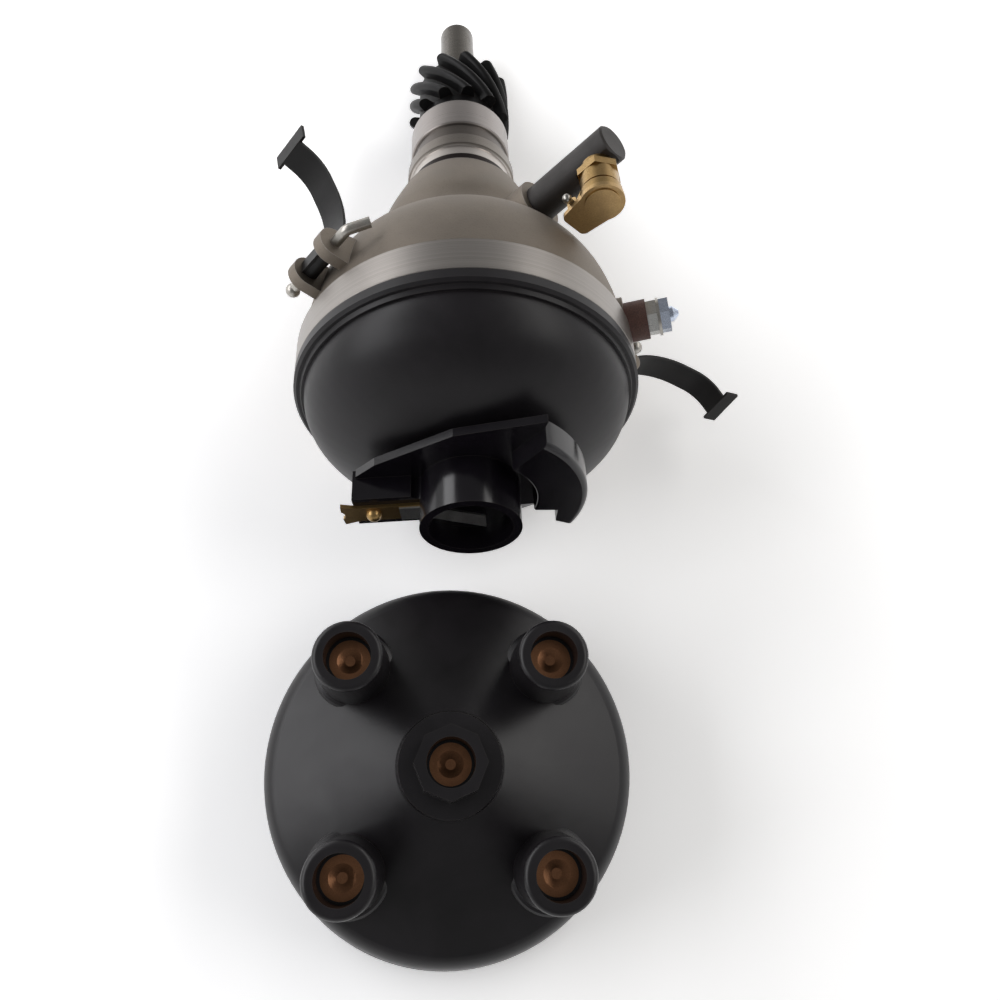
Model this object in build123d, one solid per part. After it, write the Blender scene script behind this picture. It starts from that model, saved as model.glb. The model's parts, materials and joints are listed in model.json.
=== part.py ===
from build123d import *
import math
import os

# Ignition distributor, lying on a bench on its rim and its drive gear, with the cap set down in front.
# Every piece of the distributor is built upright about the shaft axis: z = 0 is the mouth of the
# bowl, z grows towards the rotor. The cap is built with z = 0 at its rim. Both are then placed
# on the bench, with the origin on the bench under the middle of the whole set.
# Sizes are in millimetres, angles in degrees.

# Bowl and shank. The flank runs from the rim band to the neck; its shape is given as shares of
# the way in and of the way down.
rim_radius = 44.4
rim_wall = 4.3
rim_bore = rim_radius - rim_wall
rim_band = 9.3
plate_ledge_depth = 6.5
plate_ledge_width = 2.0
bowl_depth = 38.0
bowl_inner_straight = 20.0
neck_end = 72.8
shank_radius = 16.3
neck_radius = shank_radius + 2.2
flank_shape = [(0.04, 0.13), (0.135, 0.28), (0.38, 0.44), (0.65, 0.545), (0.735, 0.61), (0.76, 0.71),
               (0.79, 0.77), (0.88, 0.88)]
bowl_floor_radius = neck_radius + 0.42 * (rim_radius - neck_radius)
shank_nose_radius = 15.3
seal_groove_width = 1.8
seal_groove_radius = 14.6
waist_radius = 15.5
waist_end = 80.6
shank_land_end = 85.0
shank_relief_end = 91.8
shank_relief_cut = 0.7
shank_length = 103.0
edge_break = 0.6

# Shaft, bushings and drive gear
shaft_radius = 5.95
shaft_tip_radius = 5.65
spindle_radius = 4.0
shaft_end = 159.8
running_clearance = 0.03
bushing_radius = 8.0
upper_bushing_length = 24.0
lower_bushing_length = 21.0
bushing_flange_radius = 10.5
bushing_flange = 1.0
gear_teeth = 12
gear_tip_radius = shank_radius - 0.1
gear_root_radius = 12.9
gear_hub_radius = 12.8
gear_hub_length = 4.4
gear_face = 18.0
gear_twist = 62.0
gear_tip_share = 0.46
gear_root_share = 0.64
gear_crown = 1.1
gear_phase = 22.0
thrust_washer = 1.2
thrust_washer_radius = 10.5
end_float = 0.1
gear_pin_radius = 2.0

# Centrifugal advance
weight_plate = 2.0
weight_plate_radius = bowl_floor_radius - 2.0
weight_pivot_radius = weight_plate_radius - 6.0
weight_pin_radius = 1.8
weight_thickness = 5.6
weight_inner_radius = 10.6
weight_outer_radius = weight_plate_radius - 2.0
weight_start = 6.0
weight_sweep = 118.0
weight_swing = 12.0
drive_peg_radius = 1.2
drive_peg_place = (12.0, 80.0)
cam_advance = 8.4
cam_plate = 2.0
cam_plate_radius = 18.5
slot_play = 0.45
layer_gap = 0.3
spring_coil_radius = 1.7
spring_wire_radius = 0.35
spring_turns = 6
spring_post_radius = 1.1

# Cam, breaker and condenser
cam_sleeve_radius = 7.5
cam_flat = 9.4
cam_nose = 11.0
cam_lobe_low = -3.0
cam_lobe_high = 6.0
breaker_plate = 1.5
breaker_plate_hole = 13.0
breaker_gap = 0.5
lever_height = 4.5
lever_thickness = 3.0
lever_pivot_x = -0.55 * rim_bore
lever_line = -20.0
lever_reach = 17.5
contact_place = 14.5
contact_radius = 2.2
contact_thickness = 0.9
lobe_clearance = 0.3
breaker_swing = 4.0
condenser_line = 0.67 * rim_bore
condenser_radius = 6.2
condenser_length = 23.0

# Dust cover
cover_flange = 3.3
cover_shoulder_radius = rim_radius - 1.5
cover_step = 1.0
dome_radius = cover_shoulder_radius - 1.2
dome_height = 21.5
cover_wall = 1.9
cover_spigot = 2.5
cover_hole = 8.3

# Rotor
rotor_base_gap = 0.3
rotor_web = 2.2
barrel_radius = 12.35
barrel_top = 40.9
barrel_bore = 10.2
rotor_arm_azimuth = 186.0
rotor_arm_reach = 28.0
rotor_arm_width = 11.0
rotor_arm_top = 34.4
rotor_socket_depth = 6.6
electrode_thickness = 0.9
electrode_width = 5.6
electrode_reach = 31.2
electrode_tip_width = 8.6
leaf_rise = 3.4
counterweight_radius = 28.6
counterweight_start = -22.0
counterweight_end = 55.0
counterweight_top = 33.6
counterweight_notch = (21.8, -3.7)
rotor_flute = 1.6
plate_upper_corners = [(16.9, 25.4), (-4.5, 19.9), (-22.9, 8.2), (-27.6, 3.3)]
plate_lower_corners = [(-27.2, -8.4), (0.0, -11.0), (21.0, -8.6)]
key_flat = 6.2
rotor_lift = 7.0

# Primary terminal
terminal_azimuth = 18.0
terminal_level = -12.8
terminal_bush_radius = 5.2
terminal_face = rim_radius - 1.0
terminal_bush_reach = rim_radius + 4.6
terminal_stud_radius = 2.0
terminal_tip = terminal_bush_reach + 8.0
terminal_nut_flats = 8.0

# Oil tube and oil cup
oil_azimuth = 50.0
oil_tube_level = -45.8
oil_tube_radius = 5.0
oil_tube_reach = 57.0
oil_tube_bore = 2.1
oil_boss_radius = 7.0
oil_boss_reach = 31.0
oil_cup_reach = 51.0
oil_cup_flats = 9.9
oil_cup_radius = 4.9
oil_cup_rim = 5.3
oil_lid_radius = 5.6
oil_lid_thickness = 1.2
oil_pin_offset = 6.4
oil_pin_length = 11.4
oil_lid_tail = 10.1

# Cap clips
left_clip_azimuth = 143.0
right_clip_azimuth = -18.7
clip_pin_reach = rim_radius + 1.5
clip_pin_level = -19.0
clip_pin_radius = 1.35
clip_pin_length = 25.0
clip_width = 8.4
clip_gauge = 0.8
clip_bar_length = 12.6
clip_bar_depth = 3.8
clip_bar_bend = -60.0
clip_route = [(-4.4, -10.9), (-2.9, -19.9), (3.4, -30.6), (10.4, -32.8)]
clip_bends = [20.0, 24.0, 12.0]
right_clip_swing = 76.6
clip_closed_swing = 160.0
lug_gap = 8.8
lug_thickness = 3.2
lug_round = 4.2

# Cap
cap_mouth_radius = cover_shoulder_radius + 0.4
cap_mouth_depth = 1.6
cap_radius = rim_radius + 3.5
cap_bead = 9.5
cap_wall_radius = cap_radius - 2.2
cap_shoulder_level = 24.0
cap_shoulder_round = 5.5
cap_roof_slope = 22.0
cap_roof_level = 43.0
cap_wall = 3.8
tower_count = 4
tower_pitch_radius = 33.2
tower_top = 56.0
tower_root = 30.0
tower_top_radius = 8.1
tower_root_radius = 8.8
tower_round = 1.3
tower_foot_radius = 10.0
tower_foot_level = 35.6
tower_bore = 5.4
tower_bore_floor = 48.0
insert_radius = 4.8
insert_dimple = 0.7
post_radius = 1.5
post_end = 29.0
centre_tower_top = 58.0
centre_tower_sides = 8
centre_base_radius = 12.6
centre_base_top = 45.6
centre_tower_radius = 8.6
button_radius = 3.2
button_end = 40.7
centre_hollow_radius = 13.4
centre_hollow_top = 41.6

# How the two stand on the bench
cap_distance = 93.5
cap_sideways = -5.3
cap_turn = -0.7
cap_draw = 100.0

BASE = (Align.CENTER, Align.CENTER, Align.MIN)


def rod(radius, low, high):
    return Pos(0, 0, low) * Cylinder(radius, high - low, align=BASE)


def ring(outer, inner, low, high):
    return rod(outer, low, high) - rod(inner, low, high)


def turned(*edges):
    return revolve(Plane.XZ * make_face(edges), Axis.Z)


def turned_outline(*points):
    return turned(Polyline(*points, close=True))


def slab(face, low, high):
    return extrude(Pos(0, 0, low) * face, high - low)


def upright_slice(face, half_width):
    return extrude(Plane.XZ * face, half_width, both=True)


def outward(radius, start, end, level):
    return Pos(start, 0, level) * Rot(0, 90, 0) * Cylinder(radius, end - start, align=BASE)


def across(radius, half_length, reach, level):
    return Pos(reach, 0, level) * Rot(90, 0, 0) * Cylinder(radius, 2 * half_length)


def turn(angle):
    return Rot(0, 0, angle)


def polar(radius, angle):
    return (radius * math.cos(math.radians(angle)), radius * math.sin(math.radians(angle)))


def hexagon(flats, low, high):
    return slab(RegularPolygon(flats / 2, 6, major_radius=False), low, high)


# Levels that follow from the sizes above
floor_level = -bowl_depth
bushing_top = floor_level + bushing_flange
weight_plate_low = bushing_top + end_float
weight_plate_high = weight_plate_low + weight_plate
weight_low = weight_plate_high + layer_gap
weight_high = weight_low + weight_thickness
cam_plate_low = weight_high + layer_gap
cam_plate_high = cam_plate_low + cam_plate
breaker_plate_low = -plate_ledge_depth
breaker_plate_high = breaker_plate_low + breaker_plate
dome_start = cover_flange + cover_step
dome_top = dome_start + dome_height
rotor_base = dome_top + rotor_base_gap
cam_top = rotor_base + rotor_socket_depth
gear_hub_top = -shank_length - thrust_washer - 2 * end_float
gear_teeth_top = gear_hub_top - gear_hub_length
gear_far = gear_teeth_top - gear_face


def bowl_profile():
    back_edge = (rim_radius - 1.2, -rim_band - 0.6)
    neck_edge = (neck_radius, -neck_end + 1.8)
    middle = [(back_edge[0] + inward * (neck_edge[0] - back_edge[0]),
               back_edge[1] + down * (neck_edge[1] - back_edge[1])) for inward, down in flank_shape]
    flank = Spline(back_edge, *middle, neck_edge)
    groove_end = -neck_end - seal_groove_width
    relief_radius = shank_nose_radius - shank_relief_cut
    down = Polyline(neck_edge, (shank_radius + 0.9, -neck_end), (seal_groove_radius, -neck_end),
                    (seal_groove_radius, groove_end), (waist_radius, groove_end), (waist_radius, -waist_end),
                    (shank_radius, -waist_end - edge_break), (shank_radius, -shank_land_end),
                    (relief_radius, -shank_land_end - 0.8), (relief_radius, -shank_relief_end),
                    (shank_nose_radius, -shank_relief_end - edge_break),
                    (shank_nose_radius, -shank_length + edge_break),
                    (shank_nose_radius - edge_break, -shank_length), (0, -shank_length), (0, 0),
                    (rim_radius - 0.3, 0), (rim_radius, -0.3), (rim_radius, -rim_band), back_edge)
    return flank, down


def lug_plate(side):
    outline = make_hull((Pos(clip_pin_reach, clip_pin_level) * Circle(lug_round)).edges()
                        + (Pos(rim_radius - 4.2, clip_pin_level) * Rectangle(1, 2.3 * lug_round)).edges())
    middle = side * (lug_gap + lug_thickness) / 2
    return Pos(0, middle, 0) * upright_slice(outline, lug_thickness / 2)


def housing():
    body = turned(*bowl_profile())
    for azimuth in (left_clip_azimuth, right_clip_azimuth):
        for side in (-1, 1):
            body += turn(azimuth) * lug_plate(side)
    body += turn(oil_azimuth) * outward(oil_boss_radius, bushing_radius + 2, oil_boss_reach, oil_tube_level)
    body += turn(terminal_azimuth) * outward(terminal_bush_radius + 1.6, rim_bore - 3, terminal_face,
                                             terminal_level)
    ledge_bore = rim_bore - plate_ledge_width
    body -= turned_outline((0, 1), (rim_bore, 1), (rim_bore, -plate_ledge_depth),
                           (ledge_bore, -plate_ledge_depth), (ledge_bore, -bowl_inner_straight),
                           (bowl_floor_radius + 2, floor_level + 3), (bowl_floor_radius, floor_level),
                           (0, floor_level))
    body -= rod(bushing_radius, -shank_length, floor_level)
    for azimuth in (left_clip_azimuth, right_clip_azimuth):
        body -= turn(azimuth) * across(clip_pin_radius, lug_gap, clip_pin_reach, clip_pin_level)
    tube_seat = outward(oil_tube_radius, bushing_radius + 6, oil_boss_reach + 10, oil_tube_level)
    oil_way = outward(oil_tube_bore, 0, oil_boss_reach, oil_tube_level)
    body -= turn(oil_azimuth) * (tube_seat + oil_way)
    body -= turn(terminal_azimuth) * outward(terminal_bush_radius - 1.2, rim_bore - 5, rim_radius + 5,
                                             terminal_level)
    body -= turn(terminal_azimuth) * outward(terminal_bush_radius + 0.05, terminal_face, rim_radius + 5,
                                             terminal_level)
    for azimuth in plate_screw_azimuths:
        body -= turn(azimuth) * Pos(plate_screw_reach, 0, 0) * rod(1.5, -plate_ledge_depth - 5, 0)
    return body


plate_screw_reach = rim_bore - plate_ledge_width / 2 - 1.4
plate_screw_azimuths = (75.0, 195.0, 315.0)


def upper_bushing():
    sleeve = ring(bushing_radius, shaft_radius + running_clearance, floor_level - upper_bushing_length,
                  floor_level)
    flange = ring(bushing_flange_radius, shaft_radius + running_clearance, floor_level, bushing_top)
    oil_hole = turn(oil_azimuth) * outward(1.2, 0, bushing_radius + 1, oil_tube_level)
    return sleeve + flange - oil_hole


def lower_bushing():
    return ring(bushing_radius, shaft_radius + running_clearance, -shank_length,
                -shank_length + lower_bushing_length)


def shank_seal_ring():
    middle = -neck_end - seal_groove_width / 2
    cross = seal_groove_width / 2
    return Pos(0, 0, middle) * Torus(seal_groove_radius + cross, cross)


def dome_shell(radius, height, hole):
    angle = math.degrees(math.acos(hole / radius))
    return EllipticalCenterArc((0, dome_start), radius, height, start_angle=0, arc_size=angle)


def dust_cover():
    outer = dome_shell(dome_radius, dome_height, cover_hole)
    inner = dome_shell(dome_radius - cover_wall, dome_height - cover_wall, cover_hole)
    spigot_radius = rim_bore - 0.2
    rim = Polyline(inner @ 0, (dome_radius - cover_wall, 0), (spigot_radius - cover_wall, 0),
                   (spigot_radius - cover_wall, -cover_spigot), (spigot_radius, -cover_spigot),
                   (spigot_radius, 0), (rim_radius, 0), (rim_radius, cover_flange - 0.7),
                   (rim_radius - 0.7, cover_flange), (cover_shoulder_radius, cover_flange),
                   (cover_shoulder_radius - 0.5, dome_start), outer @ 0)
    lip = Line(outer @ 1, inner @ 1)
    return turned(outer, lip, inner, rim)


def gear_outline():
    step = 360 / gear_teeth
    edges = []
    for tooth in range(gear_teeth):
        middle = gear_phase + tooth * step
        half_root = step * gear_root_share / 2
        half_tip = step * gear_tip_share / 2
        low_left = polar(gear_root_radius, middle - half_root)
        high_left = polar(gear_tip_radius - gear_crown, middle - half_tip)
        tip = polar(gear_tip_radius, middle)
        high_right = polar(gear_tip_radius - gear_crown, middle + half_tip)
        low_right = polar(gear_root_radius, middle + half_root)
        next_left = polar(gear_root_radius, middle + step - half_root)
        edges.append(Line(low_left, high_left))
        edges.append(ThreePointArc(high_left, tip, high_right))
        edges.append(Line(high_right, low_right))
        edges.append(Line(low_right, next_left))
    return Wire(edges)


def drive_gear():
    start = Pos(0, 0, gear_far) * gear_outline()
    teeth = Solid.extrude_linear_with_rotation(start, (0, 0, gear_far), (0, 0, gear_face), -gear_twist)
    gear = teeth + rod(gear_hub_radius, gear_teeth_top - 1.0, gear_hub_top)
    gear -= rod(shaft_radius, gear_far - 1, gear_hub_top + 1)
    gear -= Pos(0, 0, gear_pin_level) * Rot(0, 90, 0) * Cylinder(gear_pin_radius, 2 * gear_tip_radius + 2)
    return gear


gear_pin_level = gear_hub_top - gear_hub_length / 2


def gear_pin():
    return Pos(0, 0, gear_pin_level) * Rot(0, 90, 0) * Cylinder(gear_pin_radius, 2 * gear_hub_radius - 0.4)


def gear_thrust_washer():
    return ring(thrust_washer_radius, shaft_radius + running_clearance, gear_hub_top + end_float,
                gear_hub_top + end_float + thrust_washer)


def shaft():
    body = turned_outline((0, -shaft_end), (shaft_tip_radius - 0.7, -shaft_end),
                          (shaft_tip_radius, -shaft_end + 0.7), (shaft_tip_radius, gear_far - 0.8),
                          (shaft_radius, gear_far - 0.5), (shaft_radius, weight_plate_high),
                          (spindle_radius, weight_plate_high),
                          (spindle_radius, screw_seat), (0, screw_seat))
    body -= Pos(0, 0, gear_pin_level) * Rot(0, 90, 0) * Cylinder(gear_pin_radius, 2 * gear_tip_radius)
    body -= rod(screw_radius, screw_seat - screw_depth, screw_seat)
    return body


screw_radius = 1.6
screw_depth = 9.0
screw_seat = rotor_base - 0.6
screw_head_radius = 5.2


def cam_screw():
    head = rod(screw_head_radius, screw_seat, screw_seat + 2.4)
    slot = Pos(0, 0, screw_seat + 2.4) * Box(12, 1.0, 1.8)
    return head - slot + rod(screw_radius, screw_seat - screw_depth, screw_seat)


def weight_pivots():
    return [polar(weight_pivot_radius, 0), polar(weight_pivot_radius, 180)]


def spring_anchor(side):
    return polar(weight_plate_radius - 3.2, 145 + side * 180)


def cam_post(side):
    return polar(cam_plate_radius - 2.6, 100 + side * 180)


def weight_plate_piece():
    plate = ring(weight_plate_radius, shaft_radius, weight_plate_low, weight_plate_high)
    for x, y in weight_pivots():
        plate += Pos(x, y, 0) * rod(weight_pin_radius, weight_plate_high, weight_high + 0.2)
    for side in (0, 1):
        x, y = spring_anchor(side)
        plate += Pos(x, y, 0) * rod(spring_post_radius, weight_plate_high, spring_level + 1.4)
    return plate


spring_level = cam_plate_high + spring_coil_radius + spring_wire_radius + layer_gap


def peg_at(swing):
    pivot = Vector(weight_pivot_radius, 0)
    peg = Vector(*polar(*drive_peg_place))
    return pivot + (peg - pivot).rotate(Axis.Z, -swing)


def flyweight():
    sector = make_face(weight_edges())
    body = sector + Pos(weight_pivot_radius, 0) * Circle(weight_pin_radius + 2.4)
    solid = slab(body, weight_low, weight_high)
    solid -= Pos(weight_pivot_radius, 0, 0) * rod(weight_pin_radius + 0.05, weight_low, weight_high)
    peg = peg_at(0)
    return solid + Pos(peg.X, peg.Y, 0) * rod(drive_peg_radius, weight_high, cam_plate_high)


def weight_edges():
    finish = weight_start + weight_sweep
    middle = (weight_start + finish) / 2
    outer = ThreePointArc(polar(weight_outer_radius, weight_start), polar(weight_outer_radius, middle),
                          polar(weight_outer_radius, finish))
    inner = ThreePointArc(polar(weight_inner_radius, finish), polar(weight_inner_radius, middle),
                          polar(weight_inner_radius, weight_start))
    return [outer, Line(outer @ 1, inner @ 0), inner, Line(inner @ 1, outer @ 0)]


def cam():
    body = rod(cam_plate_radius, cam_plate_low, cam_plate_high)
    body += rod(cam_sleeve_radius, cam_plate_high, cam_top)
    corner = (math.sqrt(2) * cam_flat - cam_nose) / (math.sqrt(2) - 1)
    body += slab(RectangleRounded(2 * cam_flat, 2 * cam_flat, corner), cam_lobe_low, cam_lobe_high)
    start = peg_at(0)
    finish = peg_at(weight_swing).rotate(Axis.Z, cam_advance)
    for side in (0, 180):
        slot = make_hull((Pos(start.X, start.Y) * Circle(drive_peg_radius + slot_play)).edges()
                         + (Pos(finish.X, finish.Y) * Circle(drive_peg_radius + slot_play)).edges())
        body -= turn(side) * slab(slot, cam_plate_low - 1, cam_plate_high + 0.01)
    for side in (0, 1):
        x, y = cam_post(side)
        body += Pos(x, y, 0) * rod(spring_post_radius, cam_plate_high, spring_level + 1.4)
    body -= rod(spindle_radius + running_clearance, cam_plate_low, cam_top)
    body -= rod(screw_head_radius + 0.1, screw_seat, cam_top)
    body -= Pos(key_flat + 5, 0, cam_top) * Box(10, 20, 2 * rotor_socket_depth)
    return body


def advance_spring(side):
    fixed = Vector(*spring_anchor(side))
    moving = Vector(*cam_post(side))
    along = (moving - fixed).normalized()
    reach = (moving - fixed).length
    pitch = 2.4 * spring_wire_radius
    coil_length = spring_turns * pitch
    start = (reach - coil_length) / 2
    coil = Helix(pitch, coil_length, spring_coil_radius)
    section = Plane(coil @ 0, z_dir=coil % 0) * Circle(spring_wire_radius)
    spring = sweep(section, path=coil, is_frenet=True)
    hook_length = start - spring_post_radius
    for low in (-hook_length, coil_length):
        spring += Pos(0, 0, low) * Box(2 * spring_coil_radius, 0.7, hook_length, align=BASE)
    frame = Plane((fixed.X, fixed.Y, spring_level), x_dir=(0, 0, 1), z_dir=(along.X, along.Y, 0))
    return frame * Pos(0, 0, start) * spring


def breaker_plate_piece():
    plate = ring(rim_bore - 0.1, breaker_plate_hole, breaker_plate_low, breaker_plate_high)
    for azimuth in plate_screw_azimuths:
        plate -= turn(azimuth) * Pos(plate_screw_reach, 0, 0) * rod(1.6, breaker_plate_low - 1, 0)
    plate -= turn(breaker_turn) * Pos(lever_pivot_x, lever_line, 0) * rod(2.0, breaker_plate_low - 1, 0)
    plate -= turn(terminal_azimuth) * Pos(rim_bore, 0, 0) * Box(9, 5.6, 20)
    return plate


breaker_turn = terminal_azimuth + 180 - math.degrees(math.atan2(lever_line, lever_pivot_x)) + 25


def plate_screws():
    screws = []
    for azimuth in plate_screw_azimuths:
        shank = rod(1.5, breaker_plate_low - 4.5, breaker_plate_high)
        head = rod(2.2, breaker_plate_high, breaker_plate_high + 1.5)
        slot = Pos(0, 0, breaker_plate_high + 1.5) * Box(6, 0.7, 1.4)
        screws.append(turn(azimuth) * Pos(plate_screw_reach, 0, 0) * (shank + head - slot))
    return screws


lever_low = breaker_plate_high + 0.9
lever_high = lever_low + lever_height
lever_face = lever_line + lever_thickness / 2
contact_level = (lever_low + lever_high) / 2


def breaker_pivot():
    post = rod(2.0, breaker_plate_low, lever_high + 1.5)
    collar = rod(3.2, breaker_plate_high, lever_low - 0.1)
    clip = ring(3.0, 2.0, lever_high + 0.15, lever_high + 0.9)
    return turn(breaker_turn) * Pos(lever_pivot_x, lever_line, 0) * (post + collar + clip)


def breaker_lever():
    length = lever_reach - lever_pivot_x
    bar = Pos(lever_pivot_x + length / 2, lever_line, contact_level) * Box(length, lever_thickness, lever_height)
    boss = Pos(lever_pivot_x, lever_line, 0) * rod(3.6, lever_low, lever_high)
    hole = Pos(lever_pivot_x, lever_line, 0) * rod(2.04, lever_low, lever_high)
    hollow = Pos((lever_reach + lever_pivot_x) / 2 - 4, lever_line - 0.8, contact_level) * Box(
        length - 16, lever_thickness - 1.4, lever_height - 1.6)
    return turn(breaker_turn) * (bar + boss - hole - hollow)


def rubbing_block():
    reach = -(cam_nose + lobe_clearance)
    tip = Pos(0, reach - 2.4, 0) * Circle(2.4)
    body = Pos(0, (lever_face + reach - 2.4) / 2) * Rectangle(4.8, reach - 2.4 - lever_face)
    return turn(breaker_turn) * slab(tip + body, lever_low + 0.4, lever_high - 0.4)


def contact_disc(face_line):
    return Pos(contact_place, face_line, contact_level) * Rot(90, 0, 0) * Cylinder(
        contact_radius, contact_thickness, align=BASE)


def moving_contact():
    return turn(breaker_turn) * contact_disc(lever_face + contact_thickness)


def contact_face():
    return lever_face + contact_thickness + breaker_gap


def fixed_contact():
    return turn(breaker_turn) * contact_disc(contact_face() + contact_thickness)


def contact_bracket():
    wall_line = contact_face() + contact_thickness
    wall = Pos(contact_place, wall_line + 0.75, breaker_plate_high) * Box(6.5, 1.5, lever_high - breaker_plate_high,
                                                                        align=BASE)
    foot = Pos(contact_place + 4.5, wall_line + 4.5, breaker_plate_high) * Box(12, 9, 1.2, align=BASE)
    foot -= Pos(contact_place + 7.5, wall_line + 5.5, 0) * rod(1.6, breaker_plate_high, 0)
    return turn(breaker_turn) * (wall + foot)


def contact_screw():
    wall_line = contact_face() + contact_thickness
    top = breaker_plate_high + 1.2
    screw = rod(1.5, breaker_plate_high, top) + rod(2.8, top, top + 1.6)
    screw -= Pos(0, 0, top + 1.6) * Box(7, 0.8, 1.6)
    return turn(breaker_turn) * Pos(contact_place + 7.5, wall_line + 5.5, 0) * screw


def breaker_spring():
    back = lever_line - lever_thickness / 2
    path = FilletPolyline((-2.0, back - 0.15), (-12.0, back - 0.15), (-24.0, back - 4.0), (-29.5, -16.0),
                          radius=2.0)
    section = Plane(path @ 0, x_dir=(0, 0, 1), z_dir=path % 0) * Rectangle(lever_height - 1.2, 0.3)
    return turn(breaker_turn) * Pos(0, 0, contact_level) * sweep(section, path=path)


condenser_level = breaker_plate_high + condenser_radius + 0.6


def condenser():
    body = Pos(0, condenser_line, condenser_level) * Rot(0, 90, 0) * Cylinder(condenser_radius, condenser_length)
    body = fillet(body.edges().filter_by(GeomType.CIRCLE), 0.8)
    nose = Pos(condenser_length / 2, condenser_line, condenser_level) * Rot(0, 90, 0) * Cylinder(
        2.2, 2.5, align=BASE)
    return turn(breaker_turn) * (body + nose)


def condenser_strap():
    band = Pos(0, condenser_line, condenser_level) * Rot(0, 90, 0) * (
        Cylinder(condenser_radius + 0.8, 7) - Cylinder(condenser_radius, 7))
    foot_length = condenser_radius + 6.5
    foot = Pos(0, condenser_line - foot_length / 2, breaker_plate_high) * Box(7, foot_length, 1.0, align=BASE)
    foot -= Pos(0, condenser_line, condenser_level) * Rot(0, 90, 0) * Cylinder(condenser_radius + 0.4, 9)
    strap = band + foot
    strap -= Pos(0, 0, breaker_plate_high - 5) * Box(90, 90, 5, align=BASE)
    strap -= Pos(0, condenser_line - condenser_radius - 3.6, 0) * rod(1.6, breaker_plate_high, 2)
    return turn(breaker_turn) * strap


def condenser_screw():
    top = breaker_plate_high + 1.0
    screw = rod(1.5, breaker_plate_high, top) + rod(2.3, top, top + 1.5)
    screw -= Pos(0, 0, top + 1.5) * Box(6, 0.7, 1.4)
    return turn(breaker_turn) * Pos(0, condenser_line - condenser_radius - 3.6, 0) * screw


def cam_felt():
    reach = cam_nose + lobe_clearance
    return turn(breaker_turn + 150) * Pos(reach + 2.4, 0, breaker_plate_high) * Box(4.8, 5, 8, align=BASE)


def terminal_bush():
    sleeve = outward(terminal_bush_radius - 1.2, rim_bore - 0.9, terminal_face, terminal_level)
    head = outward(terminal_bush_radius, terminal_face, terminal_bush_reach, terminal_level)
    bush = sleeve + head - outward(terminal_stud_radius, rim_bore - 6, terminal_bush_reach + 1, terminal_level)
    return turn(terminal_azimuth) * bush


def terminal_stud():
    inner_end = rim_bore - 5.2
    body = outward(terminal_stud_radius, inner_end, terminal_tip - 1.4, terminal_level)
    body += Pos(terminal_tip - 1.4, 0, terminal_level) * Rot(0, 90, 0) * Cone(
        terminal_stud_radius, 0.7, 1.4, align=BASE)
    head = outward(3.2, inner_end, inner_end + 1.2, terminal_level)
    return turn(terminal_azimuth) * (body + head)


def terminal_hexagon(start, end):
    nut = Pos(start, 0, terminal_level) * Rot(0, 90, 0) * hexagon(terminal_nut_flats, 0, end - start)
    return nut - outward(terminal_stud_radius, start - 1, end + 1, terminal_level)


def terminal_clamp_nut():
    return turn(terminal_azimuth) * terminal_hexagon(terminal_bush_reach, terminal_bush_reach + 2.6)


def terminal_washer():
    start = terminal_bush_reach + 2.6
    washer = outward(4.9, start, start + 0.7, terminal_level)
    washer -= outward(terminal_stud_radius, start - 1, start + 2, terminal_level)
    return turn(terminal_azimuth) * washer


def terminal_nut():
    start = terminal_bush_reach + 3.3
    return turn(terminal_azimuth) * terminal_hexagon(start, start + 2.4)


def primary_strap():
    reach = rim_bore - 4.0
    bottom = terminal_level - 3.4
    upright = Pos(reach + 0.35, 0, (bottom + 1.0) / 2) * Box(0.7, 5, 1.0 - bottom)
    top = Pos(reach - 2.5, 0, 0.65) * Box(6.4, 5, 0.7)
    hole = outward(terminal_stud_radius, reach - 3, reach + 3, terminal_level)
    return turn(terminal_azimuth) * (upright + top - hole)


def oil_tube():
    start = bushing_radius + 6
    tube = outward(oil_tube_radius, start, oil_tube_reach, oil_tube_level)
    tube = chamfer(tube.edges().filter_by(GeomType.CIRCLE).sort_by(Axis.X)[-1], 0.5)
    tube -= outward(oil_tube_bore, start - 1, oil_cup_reach + 2.5, oil_tube_level)
    tube_high = oil_tube_level + oil_tube_radius
    tube -= Pos(oil_cup_reach, 0, 0) * rod(oil_cup_rim + 0.4, oil_spot_face, tube_high + 1)
    tube -= Pos(oil_cup_reach, 0, 0) * rod(oil_spigot_radius, oil_tube_level, oil_spot_face)
    return turn(oil_azimuth) * tube


oil_spot_face = oil_tube_level + oil_tube_radius - 0.8
oil_spigot_radius = 2.6
oil_hex_low = oil_spot_face + 2.2
oil_hex_top = oil_hex_low + 2.2
oil_waist = oil_hex_top + 4.4
oil_rim_low = oil_waist + 1.0
oil_rim_top = oil_rim_low + 2.2
oil_pin_level = oil_rim_top - 1.6
oil_lid_low = oil_rim_top + 0.1


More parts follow.
